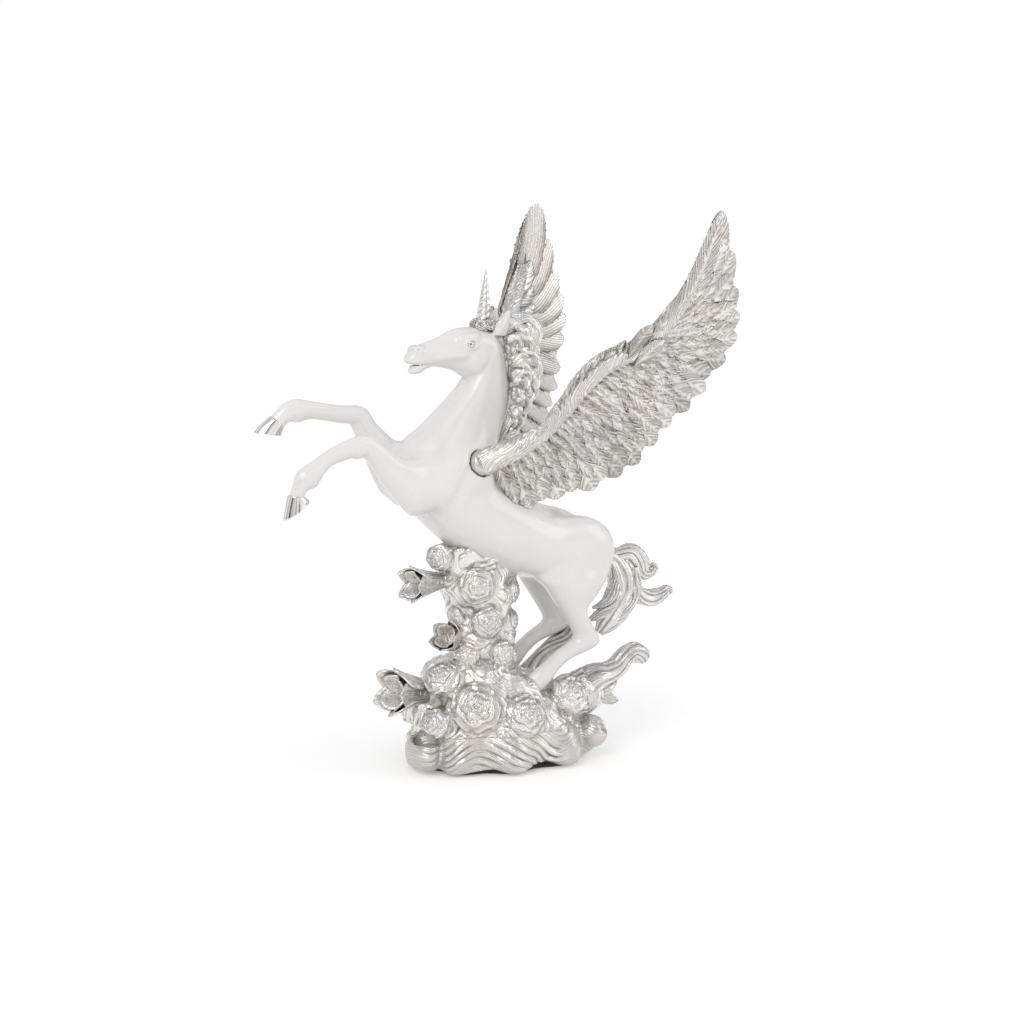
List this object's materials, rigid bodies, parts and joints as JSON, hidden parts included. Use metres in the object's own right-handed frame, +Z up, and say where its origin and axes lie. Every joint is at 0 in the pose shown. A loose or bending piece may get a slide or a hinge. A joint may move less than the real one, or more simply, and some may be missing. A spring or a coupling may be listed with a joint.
{
  "type": "winged unicorn statue",
  "caption": "Rearing winged unicorn statue in white and silver on a base of waves and roses, with feathered wings that pull out of shoulder sockets.",
  "frame": {"origin": "on the plane the felt rests on, under the middle of the base to within 5 mm", "axes": "-X the way the horse faces, -Y its left side, +Z up"},
  "size_m": [0.4548, 0.3662, 0.5534],
  "materials": {
    "white_lacquer": "gloss",
    "silver_plate": "polished",
    "steel": "satin",
    "felt": "matte"
  },
  "bodies": {
    "statue": {"horse_body": "white_lacquer", "foreleg_left": "white_lacquer", "foreleg_right": "white_lacquer", "base_casting": "silver_plate", "column_casting": "silver_plate", "hoof_front_left": "silver_plate", "hoof_front_right": "silver_plate", "hoof_hind_left": "silver_plate", "hoof_hind_right": "silver_plate", "eye_left": "silver_plate", "eye_right": "silver_plate", "horn": "silver_plate", "horn_wreath": "silver_plate", "mane": "silver_plate", "tail": "silver_plate", "column_rod": "steel", "rod_washer": "steel", "rod_nut": "steel", "foreleg_dowel_left": "steel", "foreleg_dowel_right": "steel", "hind_pin_left": "steel", "hind_pin_right": "steel", "tail_dowel": "steel", "base_felt": "felt"},
    "wing_left": {"wing_left": "silver_plate", "wing_left_peg": "steel", "wing_left_pin": "steel"},
    "wing_right": {"wing_right": "silver_plate", "wing_right_peg": "steel", "wing_right_pin": "steel"}
  },
  "joints": [
    {"name": "wing_left_pull", "type": "slide", "parent": "statue", "child": "wing_left", "axis": [0.2001, -0.8703, 0.4501], "range_m": [0, 0.045]},
    {"name": "wing_right_pull", "type": "slide", "parent": "statue", "child": "wing_right", "axis": [0.2001, 0.8703, 0.4501], "range_m": [0, 0.045]}
  ]
}
